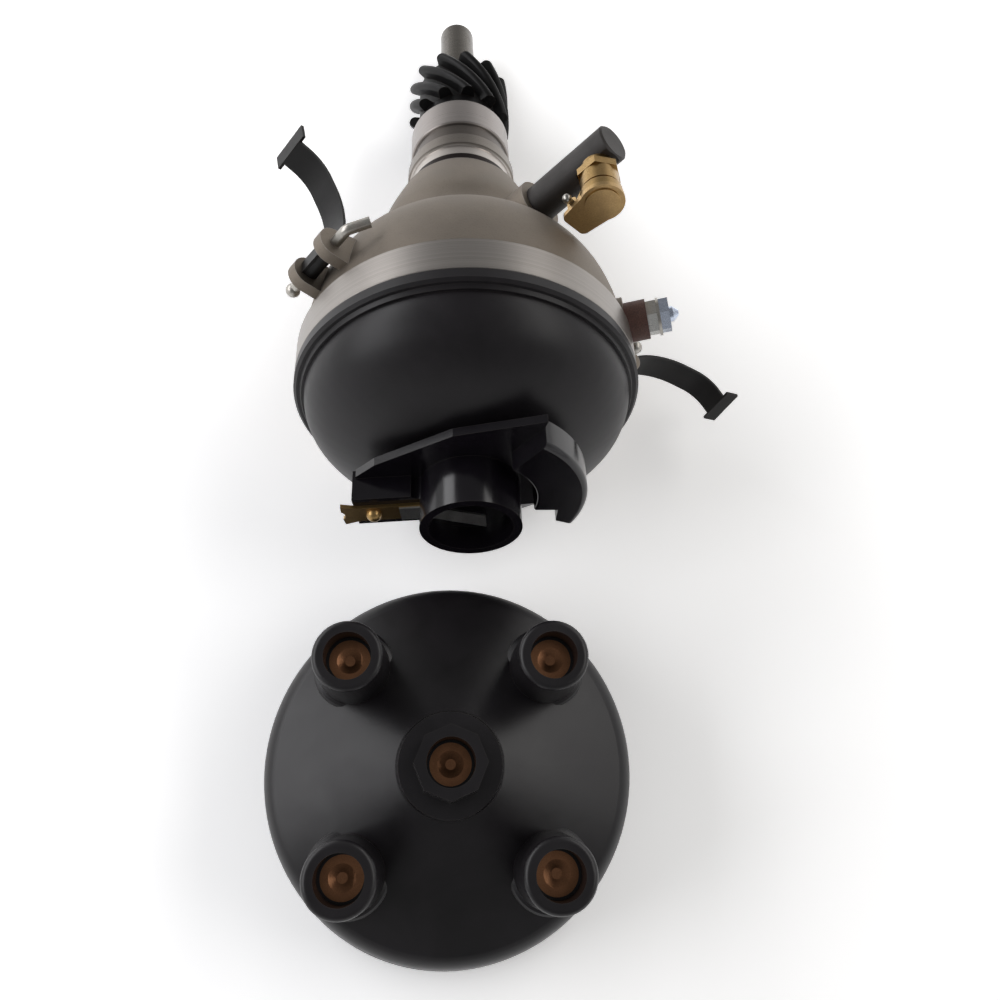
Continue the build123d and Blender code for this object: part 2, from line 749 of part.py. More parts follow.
def oil_cup_body():
    body = hexagon(oil_cup_flats, oil_hex_low, oil_hex_top)
    body += rod(oil_cup_radius - 0.7, oil_spot_face, oil_hex_low)
    body += rod(oil_spigot_radius, oil_tube_level + 1.2, oil_spot_face)
    body += rod(oil_cup_radius, oil_hex_top, oil_waist)
    body += rod(oil_cup_radius - 0.6, oil_waist, oil_rim_low)
    body += rod(oil_cup_rim, oil_rim_low, oil_rim_top)
    knuckle = Pos(-oil_pin_offset, oil_pin_level) * Circle(1.5)
    neck = Polyline((-oil_pin_offset + 0.4, oil_pin_level + 1.4), (-oil_cup_radius + 1.0, oil_pin_level + 1.4),
                    (-oil_cup_radius + 1.0, oil_pin_level - 4.0), (-oil_pin_offset + 0.2, oil_pin_level - 1.4),
                    close=True)
    body += upright_slice(knuckle + make_face(neck), 2.5)
    body -= rod(3.6, oil_hex_top - 1.0, oil_rim_top)
    body -= rod(1.2, oil_tube_level, oil_hex_top)
    body -= across(0.75, 4, -oil_pin_offset, oil_pin_level)
    return turn(oil_azimuth) * Pos(oil_cup_reach, 0, 0) * body


def oil_cup_pin():
    pin = across(0.75, oil_pin_length / 2, -oil_pin_offset, oil_pin_level)
    head = Pos(-oil_pin_offset, oil_pin_length / 2, oil_pin_level) * Sphere(1.2)
    return turn(oil_azimuth) * Pos(oil_cup_reach, 0, 0) * (pin + head)


def oil_cup_lid():
    top = oil_lid_low + oil_lid_thickness
    disc = rod(oil_lid_radius, oil_lid_low, top)
    crown = rod(oil_lid_radius - 1.2, top, top + 0.4)
    edges = Circle(oil_lid_radius - 0.3).edges()
    for side in (-1, 1):
        edges += (Pos(1.6 - oil_lid_tail, 2.6 * side) * Circle(1.6)).edges()
    lid = disc + crown + slab(make_hull(edges), oil_lid_low, top)
    for side in (-1, 1):
        ear = Pos(-oil_pin_offset, oil_pin_level) * Circle(1.5)
        web = Pos(-oil_pin_offset, (oil_pin_level + top) / 2) * Rectangle(3.0, top - oil_pin_level)
        lid += Pos(0, side * 3.35, 0) * upright_slice(ear + web, 0.6)
    lid -= across(0.8, oil_pin_length / 2, -oil_pin_offset, oil_pin_level)
    return turn(oil_azimuth) * Pos(oil_cup_reach, 0, 0) * lid


def oil_wick():
    wick = outward(oil_tube_bore - 0.3, bushing_radius + 0.6, oil_cup_reach - 3, oil_tube_level)
    return turn(oil_azimuth) * wick


def clip_pin(azimuth):
    half = clip_pin_length / 2
    path = FilletPolyline((0, half, 0), (0, -half, 0), (-3.6, -half - 4.6, -1.2), radius=2.2)
    section = Plane(path @ 0, z_dir=path % 0) * Circle(clip_pin_radius)
    wire = sweep(section, path=path)
    hook = Pos(0, half, 0) * Sphere(clip_pin_radius + 0.5)
    return turn(azimuth) * Pos(clip_pin_reach, 0, clip_pin_level) * (wire + hook)


def clip_strip(azimuth, swing):
    eye_radius = clip_pin_radius + 0.08 + clip_gauge / 2
    start = (-eye_radius, 0)
    path = Plane.XZ * FilletPolyline(start, *clip_route, radius=clip_bends)
    section = Plane(path @ 0, x_dir=(0, 1, 0), z_dir=path % 0) * Rectangle(clip_width, clip_gauge)
    strip = sweep(section, path=path)
    eye = Rot(90, 0, 0) * (Cylinder(eye_radius + clip_gauge / 2, clip_width)
                           - Cylinder(eye_radius - clip_gauge / 2, clip_width))
    end = Vector(clip_route[-1][0], 0, clip_route[-1][1])
    heading = path % 1
    bar_angle = math.atan2(heading.Z, heading.X) + math.radians(clip_bar_bend)
    along = Vector(math.cos(bar_angle), 0, math.sin(bar_angle))
    middle = end + along * (clip_bar_depth - clip_gauge) / 2
    bar = Box(clip_bar_length, clip_bar_depth, clip_gauge)
    bar = Plane(middle, x_dir=(0, 1, 0), z_dir=(-along.Z, 0, along.X)) * bar
    fold = Pos(eye_radius, 0, 0) * Box(clip_gauge, clip_width, 2 * eye_radius)
    clip = strip + eye + bar + fold
    clip -= Rot(90, 0, 0) * Cylinder(eye_radius - clip_gauge / 2, clip_width)
    return turn(azimuth) * Pos(clip_pin_reach, 0, clip_pin_level) * Rot(0, -swing, 0) * clip


def rotor_plate_outline():
    sweep = counterweight_end - counterweight_start
    rounded = CenterArc((0, 0), counterweight_radius, counterweight_start, sweep)
    corners = Polyline(rounded @ 1, *plate_upper_corners, *plate_lower_corners, rounded @ 0)
    return make_face([rounded, corners])


def counterweight():
    inner = barrel_radius + 4.0
    profile = FilletPolyline((inner, rotor_base), (inner, counterweight_top),
                             (counterweight_radius, counterweight_top), (counterweight_radius, rotor_base),
                             radius=[0.6, 1.4])
    section = Plane.XZ * make_face([profile, Line(profile @ 1, profile @ 0)])
    arc = counterweight_end - counterweight_start
    weight = turn(counterweight_start) * revolve(section, Axis.Z, revolution_arc=arc)
    x, y = counterweight_notch
    notch = Box(2 * x, 2 * x, 20, align=(Align.MAX, Align.MAX, Align.MIN))
    return weight - Pos(x, y, rotor_base + rotor_web) * notch


def rotor_body():
    web_top = rotor_base + rotor_web
    body = slab(rotor_plate_outline(), rotor_base, web_top)
    body += rod(barrel_radius, rotor_base, barrel_top)
    body += counterweight()
    block = Pos((rotor_arm_reach + barrel_radius) / 2 - 1, 0, rotor_base) * Box(
        rotor_arm_reach - barrel_radius + 2, rotor_arm_width, rotor_arm_top - rotor_base, align=BASE)
    body += turn(rotor_arm_azimuth) * block
    flute_x, flute_y = polar(barrel_radius + rotor_flute - 0.3, rotor_arm_azimuth - 26)
    body -= Pos(flute_x, flute_y, 0) * rod(rotor_flute, web_top, rotor_arm_top + 1)
    body -= rod(barrel_bore, rotor_arm_top, barrel_top)
    socket = rod(cam_sleeve_radius + 0.05, rotor_base, cam_top + 0.1)
    socket -= Pos(key_flat + 0.1 + 5, 0, cam_top) * Box(10, 20, 2.2 * rotor_socket_depth)
    body -= socket
    strip_slot = Box(8, electrode_width + 0.4, leaf_slot_height, align=BASE)
    body -= turn(rotor_arm_azimuth) * Pos(barrel_radius, 0, rotor_arm_top) * strip_slot
    body -= turn(rotor_arm_azimuth) * Pos(rivet_reach, 0, 0) * rod(1.2, rotor_arm_top - 3, rotor_arm_top)
    return body


leaf_slot_height = 2.6
rivet_reach = 23.4


def rotor_electrode():
    strip = Pos(barrel_bore - 2.0, -electrode_width / 2) * Rectangle(
        rotor_arm_reach - barrel_bore + 2.0, electrode_width, align=(Align.MIN, Align.MIN))
    disc = Circle(electrode_reach)
    flare_start = rotor_arm_reach - 1.0
    flare_end = electrode_reach + 1.0
    fish = Polyline((flare_start, electrode_width / 2), (flare_end, electrode_tip_width / 2),
                    (flare_end, -electrode_tip_width / 2), (flare_start, -electrode_width / 2), close=True)
    notch = Pos(electrode_reach + 1.2, 0) * Circle(2.0)
    flat = strip + (make_face(fish) & disc) - notch
    blade = slab(flat, rotor_arm_top, rotor_arm_top + electrode_thickness)
    blade -= Pos(rivet_reach, 0, 0) * rod(1.2, rotor_arm_top - 1, rotor_arm_top + 2)
    return turn(rotor_arm_azimuth) * blade


def rotor_leaf_spring():
    gauge = 0.5
    low = rotor_arm_top + electrode_thickness + gauge / 2
    path = Plane.XZ * FilletPolyline((17.0, low), (9.6, low), (-3.6, low + leaf_rise), radius=6.0)
    section = Plane(path @ 0, x_dir=(0, 1, 0), z_dir=path % 0) * Rectangle(5.0, gauge)
    return turn(rotor_arm_azimuth) * sweep(section, path=path)


def electrode_rivet():
    top = rotor_arm_top + electrode_thickness
    shank = rod(1.2, rotor_arm_top - 3, top)
    head = Pos(0, 0, top) * (Sphere(1.9) - Pos(0, 0, -2) * Box(6, 6, 4))
    return turn(rotor_arm_azimuth) * Pos(rivet_reach, 0, 0) * (shank + head)


def roof_point(radius):
    return (radius, cap_roof_level - (radius - centre_base_radius) * math.tan(math.radians(cap_roof_slope)))


def cap_section():
    outside = FilletPolyline((cap_wall_radius + 0.6, cap_bead + 1.4), (cap_wall_radius, cap_shoulder_level),
                             roof_point(cap_wall_radius - 1.0), roof_point(centre_base_radius),
                             (0, cap_roof_level), radius=[0.8, cap_shoulder_round, 1.0])
    inner_radius = cap_wall_radius - cap_wall
    shoulder = roof_point(inner_radius)
    apex = roof_point(centre_base_radius)
    inside = FilletPolyline((0, cap_roof_level - cap_wall), (apex[0], apex[1] - cap_wall),
                            (shoulder[0], shoulder[1] - cap_wall), (cap_mouth_radius - 1.2, cap_mouth_depth),
                            radius=[1.0, cap_shoulder_round])
    rim = Polyline(inside @ 1, (cap_mouth_radius, cap_mouth_depth), (cap_mouth_radius, 0), (cap_radius - 0.6, 0),
                   (cap_radius, 0.6), (cap_radius, cap_bead), outside @ 0)
    return [outside, Line(outside @ 1, inside @ 0), inside, rim]


def tower_places():
    return [polar(tower_pitch_radius, 45 + index * 360 / tower_count) for index in range(tower_count)]


def tower():
    side = Line((tower_root_radius, tower_foot_level + 0.8), (tower_top_radius, tower_top - tower_round))
    shoulder = RadiusArc(side @ 1, (tower_top_radius - tower_round, tower_top), -tower_round)
    rest = Polyline(shoulder @ 1, (0, tower_top), (0, tower_root), (tower_foot_radius + 0.4, tower_root),
                    (tower_foot_radius, tower_foot_level), (tower_foot_radius - 0.5, tower_foot_level + 0.5),
                    side @ 0)
    return turned(side, shoulder, rest)


def centre_tower():
    base = Pos(0, 0, cap_roof_level - 4) * Cone(centre_base_radius + 0.6, centre_base_radius - 0.6,
                                                centre_base_top - cap_roof_level + 4, align=BASE)
    sides = RegularPolygon(centre_tower_radius, centre_tower_sides)
    stem = extrude(Pos(0, 0, cap_roof_level) * sides, centre_tower_top - cap_roof_level, taper=1.5)
    return base + stem


def cap_shell():
    shell = turned(*cap_section())
    for x, y in tower_places():
        shell += Pos(x, y, 0) * (tower() - cap_hollow())
    shell += centre_tower()
    for x, y in tower_places():
        place = Pos(x, y, 0)
        shell -= place * rod(tower_bore, tower_bore_floor, tower_top + 1)
        shell -= place * rod(insert_radius, tower_bore_floor - insert_depth, tower_bore_floor)
        shell -= place * rod(post_radius, post_end - 4, tower_bore_floor)
    shell -= rod(tower_bore, tower_bore_floor, centre_tower_top + 1)
    shell -= rod(insert_radius, centre_seat, tower_bore_floor)
    shell -= rod(button_radius, centre_hollow_top - 1, centre_seat)
    shell -= rod(centre_hollow_radius, cap_roof_level - 12, centre_hollow_top)
    return shell


insert_depth = 5.0
centre_seat = tower_bore_floor - 3.0


def cap_hollow():
    return rod(cap_wall_radius - cap_wall, 0, tower_root + 1.5)


def tower_insert(low_end):
    cup = rod(insert_radius, low_end, tower_bore_floor)
    return cup - Pos(0, 0, tower_bore_floor) * Cone(1.2, 3.0, insert_dimple,
                                                    align=(Align.CENTER, Align.CENTER, Align.MAX))


def cap_tower_terminals():
    insert = tower_insert(tower_bore_floor - insert_depth)
    insert += rod(post_radius, post_end, tower_bore_floor - insert_depth)
    return [Pos(x, y, 0) * insert for x, y in tower_places()]


def cap_centre_terminal():
    return tower_insert(centre_seat)


def carbon_button():
    body = rod(button_radius, button_end, centre_seat)
    return fillet(body.edges().sort_by(Axis.Z)[0], 0.8)


distributor = {
    "housing": housing(),
    "upper_bushing": upper_bushing(),
    "lower_bushing": lower_bushing(),
    "shank_seal_ring": shank_seal_ring(),
    "dust_cover": dust_cover(),
    "breaker_plate": breaker_plate_piece(),
    "breaker_plate_screws": plate_screws(),
    "breaker_pivot_post": breaker_pivot(),
    "breaker_lever": breaker_lever(),
    "rubbing_block": rubbing_block(),
    "moving_contact": moving_contact(),
    "fixed_contact": fixed_contact(),
    "contact_bracket": contact_bracket(),
    "contact_screw": contact_screw(),
    "breaker_spring": breaker_spring(),
    "condenser": condenser(),
    "condenser_strap": condenser_strap(),
    "condenser_screw": condenser_screw(),
    "cam_felt": cam_felt(),
    "terminal_bush": terminal_bush(),
    "terminal_stud": terminal_stud(),
    "terminal_clamp_nut": terminal_clamp_nut(),
    "terminal_washer": terminal_washer(),
    "terminal_nut": terminal_nut(),
    "primary_strap": primary_strap(),
    "oil_tube": oil_tube(),
    "oil_wick": oil_wick(),
    "oil_cup_body": oil_cup_body(),
    "oil_cup_hinge_pin": oil_cup_pin(),
    "oil_cup_lid": oil_cup_lid(),
    "left_clip_pin": clip_pin(left_clip_azimuth),
    "right_clip_pin": clip_pin(right_clip_azimuth),
    "left_cap_clip": clip_strip(left_clip_azimuth, 0),
    "right_cap_clip": clip_strip(right_clip_azimuth, right_clip_swing),
    "shaft": shaft(),
    "drive_gear": drive_gear(),
    "gear_pin": gear_pin(),
    "gear_thrust_washer": gear_thrust_washer(),
    "cam_screw": cam_screw(),
    "weight_plate": weight_plate_piece(),
    "flyweight_front": flyweight(),
    "flyweight_rear": turn(180) * flyweight(),
    "advance_spring_front": advance_spring(0),
    "advance_spring_rear": advance_spring(1),
    "cam": cam(),
    "rotor_body": rotor_body(),
    "rotor_electrode": rotor_electrode(),
    "rotor_leaf_spring": rotor_leaf_spring(),
    "electrode_rivet": electrode_rivet(),
}

cap = {
    "cap_shell": cap_shell(),
    "cap_tower_terminals": cap_tower_terminals(),
    "cap_centre_terminal": cap_centre_terminal(),
    "carbon_button": carbon_button(),
}

# The distributor rests on the back edge of its rim band and on the far end of its gear
rest_tilt = math.degrees(math.atan2(rim_radius - gear_tip_radius, -gear_far - rim_band))
tilt = math.radians(rest_tilt)
axis_height = rim_radius * math.cos(tilt) + rim_band * math.sin(tilt)
distributor_place = Pos(0, 0, axis_height) * Rot(90 - rest_tilt, 0, 0)
cap_place = Pos(cap_sideways, -cap_distance, 0) * turn(cap_turn)


def solids_of(piece):
    if isinstance(piece, (list, tuple)):
        return [solid for part in piece for solid in part.solids()]
    return piece.solids()


placed = {}
for name, piece in distributor.items():
    placed[name] = [distributor_place * solid for solid in solids_of(piece)]
for name, piece in cap.items():
    placed[name] = [cap_place * solid for solid in solids_of(piece)]

boxes = [solid.bounding_box() for group in placed.values() for solid in group]
middle_x = (min(box.min.X for box in boxes) + max(box.max.X for box in boxes)) / 2
middle_y = (min(box.min.Y for box in boxes) + max(box.max.Y for box in boxes)) / 2
to_origin = Pos(-middle_x, -middle_y, 0)

os.makedirs("parts", exist_ok=True)
for name, group in placed.items():
    moved = [to_origin * solid for solid in group]
    shape = moved[0] if len(moved) == 1 else Compound(children=moved)
    export_step(shape, os.path.join("parts", name + ".step"))
print(len(placed), "pieces written, bench tilt", round(rest_tilt, 2))
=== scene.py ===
"""Looks of the ignition distributor: its materials, the floor, the light and the camera.

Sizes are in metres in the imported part's frame. The shaft axis comes from the part's own spin joint,
so every material that follows the turned surfaces stays on them when the part is packed again.
"""
import json
import math

import bpy
from mathutils import Euler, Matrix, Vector

MM = 0.001

# Camera, as the photograph was taken: nearly straight down, a little from the cap's side
camera_beside_mouth = Vector((-8.80, -103.94)) * MM
camera_height = 266.10 * MM
camera_turn = (18.711, -3.788, -1.545)
focal_pixels = 925.3
frame_pixels = 1000
sensor_width = 36.0

# Bands that a lathe has cleaned up, and a band of painted shadow in the groove beside the neck, as heights
# along the shaft from the bowl's mouth
rim_band = -9.4 * MM
rim_reach = 44.8 * MM
waist_band = (-80.9 * MM, -77.2 * MM)
# painted shadow: where the groove beside the neck lies in shade, laid as a dark band
painted_groove_shadow_band = (-77.2 * MM, -72.9 * MM)
land_band = (-85.4 * MM, -80.9 * MM)
relief_band = (-92.1 * MM, -85.4 * MM)
nose_band = (-104.0 * MM, -92.1 * MM)

# Colours
cast_skin = (0.205, 0.178, 0.149)
rim_metal = (0.290, 0.270, 0.252)
# waist: turned metal painted lighter, as a painted highlight on its flared face
waist_metal_painted_highlight = (0.480, 0.445, 0.415)
land_metal = (0.200, 0.180, 0.160)
# relief: turned metal painted darker, as painted shade in the recessed relief
relief_metal_painted_shade = (0.112, 0.098, 0.088)
# painted shadow: near-black colour for the shaded groove beside the neck
painted_groove_shadow = (0.020, 0.015, 0.014)
nose_metal = (0.300, 0.275, 0.262)
phenolic = (0.0070, 0.0058, 0.0072)
phenolic_dust = (0.050, 0.045, 0.040)
rotor_black = (0.0045, 0.0036, 0.0055)
gear_oxide = (0.0021, 0.0019, 0.0021)
gear_worn = (0.030, 0.020, 0.014)
black_oxide = (0.0048, 0.0043, 0.0045)
black_oxide_worn = (0.040, 0.032, 0.028)
black_paint = (0.016, 0.012, 0.010)
bare_steel = (0.360, 0.345, 0.320)
shaft_steel = (0.115, 0.105, 0.092)
dull_steel = (0.400, 0.385, 0.355)
zinc = (0.500, 0.500, 0.485)
blue_zinc = (0.560, 0.620, 0.740)
brass = (0.360, 0.235, 0.095)
brass_worn = (0.560, 0.400, 0.190)
tarnish = (0.130, 0.070, 0.038)
tower_brown = (0.300, 0.145, 0.075)
lid_brass = (0.460, 0.310, 0.145)
bronze_brown = (0.170, 0.100, 0.050)
copper = (0.420, 0.200, 0.110)
brown_phenolic = (0.082, 0.036, 0.027)
red_phenolic = (0.180, 0.055, 0.028)
felt = (0.190, 0.160, 0.110)
carbon = (0.025, 0.025, 0.026)

# Light: a dim ceiling, a pale horizon and two tall windows behind the object
ceiling_level = 0.22
horizon_level = 0.95
ceiling_edge = 0.50
horizon_edge = 0.10
left_window_place = (-0.72, 0.30, 0.50)
left_window_size = (1.3, 0.40)
left_window_level = 3.7
right_window_place = (0.66, 0.40, 0.68)
right_window_size = (1.4, 0.38)
right_window_level = 2.7
cool_light = (0.98, 0.98, 1.0)
warm_light = (1.0, 0.98, 0.96)
floor_size = 6.0
floor_dark = (0.80, 0.80, 0.80)
floor_light = (0.82, 0.82, 0.82)
floor_seen = (1.50, 1.50, 1.50)

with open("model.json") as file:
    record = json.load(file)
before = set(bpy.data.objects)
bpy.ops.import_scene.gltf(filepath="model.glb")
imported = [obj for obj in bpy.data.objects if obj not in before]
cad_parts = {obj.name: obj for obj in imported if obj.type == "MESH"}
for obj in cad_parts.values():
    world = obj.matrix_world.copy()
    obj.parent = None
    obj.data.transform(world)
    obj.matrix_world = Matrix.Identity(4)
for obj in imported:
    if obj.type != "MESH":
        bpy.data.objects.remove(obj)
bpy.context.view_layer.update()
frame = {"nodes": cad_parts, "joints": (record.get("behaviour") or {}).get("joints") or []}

spin = next(joint for joint in frame["joints"] if joint["name"] == "shaft_spin")
bowl_mouth = Vector(spin["pos_m"])
shaft_axis = Vector(spin["axis"]).normalized()


class Recipe:
    """A material under construction, with its node tree and its shader close at hand."""

    def __init__(self, name):
        self.material = bpy.data.materials.new(name)
        self.material.use_nodes = True
        self.nodes = self.material.node_tree.nodes
        self.links = self.material.node_tree.links
        self.shader = self.nodes["Principled BSDF"]
        self.place = self.nodes.new("ShaderNodeTexCoord").outputs["Object"]

    def node(self, kind, **settings):
        made = self.nodes.new(kind)
        for setting, value in settings.items():
            setattr(made, setting, value)
        return made

    def join(self, source, target):
        self.links.new(source, target)

    def noise(self, size, detail=4.0, roughness=0.55, place=None, distortion=0.0):
        made = self.node("ShaderNodeTexNoise")
        made.inputs["Scale"].default_value = 1.0 / size
        made.inputs["Detail"].default_value = detail
        made.inputs["Roughness"].default_value = roughness
        made.inputs["Distortion"].default_value = distortion
        self.join(place or self.place, made.inputs["Vector"])
        return made.outputs["Fac"]

    def spread(self, value, low, high, start=0.0, finish=1.0):
        """Maps low..high of a value to start..finish."""
        made = self.node("ShaderNodeMapRange")
        made.inputs["From Min"].default_value = low
        made.inputs["From Max"].default_value = high
        made.inputs["To Min"].default_value = start
        made.inputs["To Max"].default_value = finish
        self.join(value, made.inputs["Value"])
        return made.outputs["Result"]

    def times(self, first, second):
        made = self.node("ShaderNodeMath", operation="MULTIPLY")
        self.join(first, made.inputs[0])
        self.join(second, made.inputs[1])
        return made.outputs[0]

    def most(self, first, second):
        made = self.node("ShaderNodeMath", operation="MAXIMUM")
        self.join(first, made.inputs[0])
        self.join(second, made.inputs[1])
        return made.outputs[0]

    def blend_colors(self, factor, first, second):
        """Mixes two colours. Either may be a plain colour or another node's output."""
        made = self.node("ShaderNodeMix", data_type="RGBA")
        self.join(factor, made.inputs["Factor"])
        for socket, color in ((made.inputs[6], first), (made.inputs[7], second)):
            if isinstance(color, tuple):
                socket.default_value = (*color, 1.0)
            else:
                self.join(color, socket)
        return made.outputs[2]

    def blend_values(self, factor, first, second):
        made = self.node("ShaderNodeMix", data_type="FLOAT")
        self.join(factor, made.inputs["Factor"])
        for socket, value in ((made.inputs[2], first), (made.inputs[3], second)):
            if isinstance(value, float):
                socket.default_value = value
            else:
                self.join(value, socket)
        return made.outputs[0]

    def edge(self, radius, noise=None):
        """1 along sharp edges and 0 on open faces, broken up by a noise."""
        rounded = self.node("ShaderNodeBevel", samples=6)
        rounded.inputs["Radius"].default_value = radius
        flat = self.node("ShaderNodeNewGeometry")
        compare = self.node("ShaderNodeVectorMath", operation="DOT_PRODUCT")
        self.join(rounded.outputs["Normal"], compare.inputs[0])
        self.join(flat.outputs["Normal"], compare.inputs[1])
        mask = self.spread(compare.outputs["Value"], 0.995, 0.86)
        return self.times(mask, noise) if noise else mask

    def band(self, value, low, high, soft):
        """1 between two heights, fading over a soft edge."""
        above_low = self.spread(value, low - soft, low + soft)
        below_high = self.spread(value, high + soft, high - soft)
        return self.times(above_low, below_high)

    def around_axis(self, origin, axis):
        """Distance from an axis and height along it, for marks left by a lathe."""
        offset = self.node("ShaderNodeVectorMath", operation="SUBTRACT")
        self.join(self.place, offset.inputs[0])
        offset.inputs[1].default_value = origin
        along = self.node("ShaderNodeVectorMath", operation="DOT_PRODUCT")
        self.join(offset.outputs[0], along.inputs[0])
        along.inputs[1].default_value = axis
        across = self.node("ShaderNodeVectorMath", operation="CROSS_PRODUCT")
        self.join(offset.outputs[0], across.inputs[0])
        across.inputs[1].default_value = axis
        length = self.node("ShaderNodeVectorMath", operation="LENGTH")
        self.join(across.outputs[0], length.inputs[0])
        return length.outputs["Value"], along.outputs["Value"]

    def pair(self, first, second):
        made = self.node("ShaderNodeCombineXYZ")
        self.join(first, made.inputs["X"])
        self.join(second, made.inputs["Y"])
        return made.outputs["Vector"]

    def bumps(self, *layers):
        """Stacks (height, depth in metres) layers into the shader's normal."""
        normal = None
        for height, depth in layers:
            made = self.node("ShaderNodeBump")
            made.inputs["Distance"].default_value = depth
            self.join(height, made.inputs["Height"])
            if normal:
                self.join(normal, made.inputs["Normal"])
            normal = made.outputs["Normal"]
        self.join(normal, self.shader.inputs["Normal"])

    def finish(self, color, roughness, metallic=None):
        self.join(color, self.shader.inputs["Base Color"])
        self.join(roughness, self.shader.inputs["Roughness"])
        if metallic is not None:
            if isinstance(metallic, float):
                self.shader.inputs["Metallic"].default_value = metallic
            else:
                self.join(metallic, self.shader.inputs["Metallic"])
        return self.material


def shade(color, factor):
    return tuple(channel * factor for channel in color)


def casting():
    """Sand-cast skin, brighter where the lathe has been, with painted light on the shank: a painted shadow in
    the groove by the neck, painted shade on the relief and a painted highlight on the waist.
    """
    recipe = Recipe("cast_aluminium")
    distance, height = recipe.around_axis(bowl_mouth, shaft_axis)
    soft = 0.15 * MM
    rim = recipe.spread(height, rim_band - soft, rim_band + soft)
    rim = recipe.times(rim, recipe.spread(distance, rim_reach + soft, rim_reach - soft))
    lathe = recipe.noise(0.25 * MM, detail=2.0, place=recipe.pair(distance, height))
    grain = recipe.noise(0.45 * MM, detail=3.0)
    blotch = recipe.noise(11 * MM, detail=5.0, roughness=0.6)
    cloud = recipe.spread(blotch, 0.3, 0.7)
    cast = recipe.blend_colors(cloud, shade(cast_skin, 0.90), shade(cast_skin, 1.10))
    pit = recipe.spread(grain, 0.30, 0.45, 0.35, 0.0)
    cast = recipe.blend_colors(pit, cast, shade(cast_skin, 0.65))
    color = recipe.blend_colors(recipe.edge(0.3 * MM), cast, rim_metal)
    turned = rim
    streak = recipe.spread(lathe, 0.3, 0.7)
    places = [(rim, rim_metal)]
    # the bands below also lay painted light on the turned metal: painted shadow in the groove by the neck,
    # painted shade on the relief, a painted highlight on the waist
    for low_and_high, band_color_and_painted_light in ((painted_groove_shadow_band, painted_groove_shadow), (waist_band, waist_metal_painted_highlight), (land_band, land_metal),
                                      (relief_band, relief_metal_painted_shade), (nose_band, nose_metal)):
        places.append((recipe.band(height, *low_and_high, soft), band_color_and_painted_light))
    for inside, band_color_and_painted_light in places:
        band_metal_and_painted_light = recipe.blend_colors(streak, shade(band_color_and_painted_light, 0.88), shade(band_color_and_painted_light, 1.10))
        color = recipe.blend_colors(inside, color, band_metal_and_painted_light)
        turned = recipe.most(turned, inside)
    cast_rough = recipe.spread(blotch, 0.3, 0.7, 0.56, 0.64)
    machined_rough = recipe.spread(lathe, 0.3, 0.7, 0.27, 0.33)
    rough = recipe.blend_values(turned, cast_rough, machined_rough)
    rough = recipe.blend_values(rim, rough, recipe.spread(lathe, 0.3, 0.7, 0.34, 0.40))
    skin = recipe.times(grain, recipe.spread(turned, 0.0, 1.0, 1.0, 0.0))
    recipe.bumps((skin, 0.05 * MM), (recipe.times(lathe, turned), 0.004 * MM), (blotch, 0.04 * MM))
    return recipe.finish(color, rough, 1.0)


def moulding(name, color, shine, dust_share, ripple_depth, gloss):
    """Black moulding, with handling haze, a little dust and paler rubbed edges."""
    recipe = Recipe(name)
    haze = recipe.noise(14 * MM, detail=6.0, roughness=0.6, distortion=0.4)
    fleck = recipe.noise(0.4 * MM, detail=2.0)
    ripple = recipe.noise(6 * MM, detail=2.0)
    tone = recipe.blend_colors(recipe.spread(haze, 0.35, 0.7), shade(color, 0.75), shade(color, 1.35))
    dust = recipe.times(recipe.spread(fleck, 0.64, 0.80), recipe.spread(haze, 0.45, 0.8, 0.0, dust_share))
    tone = recipe.blend_colors(dust, tone, phenolic_dust)
    worn = recipe.edge(0.3 * MM, recipe.spread(haze, 0.35, 0.65, 0.15, 0.5))
    tone = recipe.blend_colors(worn, tone, phenolic_dust)
    rough = recipe.spread(haze, 0.25, 0.75, shine, shine + 0.10)
    recipe.bumps((ripple, ripple_depth), (fleck, ripple_depth * 0.1))
    recipe.shader.inputs["Specular IOR Level"].default_value = gloss
    return recipe.finish(tone, rough, 0.0)


def metal(name, color, shine, grain_size, wear=None, lathe_axis=None, metallic=1.0, bump=0.005 * MM,
          variation=0.14, stain=None, stain_share=0.3, gloss=0.5):
    """Plain or plated metal: fine rings if it was turned, a fine grain if not, and cloudy stains."""
    recipe = Recipe(name)
    if lathe_axis:
        distance, height = recipe.around_axis(*lathe_axis)
        grain = recipe.noise(grain_size, detail=2.0, place=recipe.pair(distance, height))
    else:
        grain = recipe.noise(grain_size, detail=3.0)
    patch = recipe.noise(grain_size * 16, detail=5.0, roughness=0.6)
    streak = recipe.spread(grain, 0.3, 0.7)
    tone = recipe.blend_colors(streak, shade(color, 1 - variation), shade(color, 1 + variation))
    cloud = recipe.spread(patch, 0.5, 0.75, 0.0, stain_share)
    tone = recipe.blend_colors(cloud, tone, stain or shade(color, 0.5))
    if wear:
        edge = recipe.edge(0.22 * MM, recipe.spread(patch, 0.3, 0.6, 0.2, 0.8))
        tone = recipe.blend_colors(edge, tone, wear)
    rough = recipe.spread(patch, 0.3, 0.7, shine, shine + 0.10)
    recipe.bumps((grain, bump), (patch, bump * 2))
    recipe.shader.inputs["Specular IOR Level"].default_value = gloss
    return recipe.finish(tone, rough, metallic)


def fibre(name, color, layer=0.5 * MM, depth=0.04 * MM, variation=0.35):
    """Laminated or pressed fibre, with its layers just showing."""
    recipe = Recipe(name)
    layers = recipe.noise(layer, detail=2.0)
    blotch = recipe.noise(3 * MM, detail=4.0)
    streak = recipe.spread(layers, 0.35, 0.65)
    tone = recipe.blend_colors(streak, shade(color, 1 - variation), shade(color, 1 + variation))
    tone = recipe.blend_colors(recipe.spread(blotch, 0.45, 0.8, 0.0, 0.5), tone, shade(color, 0.6))
    rough = recipe.spread(blotch, 0.3, 0.7, 0.55, 0.72)
    recipe.bumps((layers, depth), (blotch, depth * 1.5))
    return recipe.finish(tone, rough, 0.0)


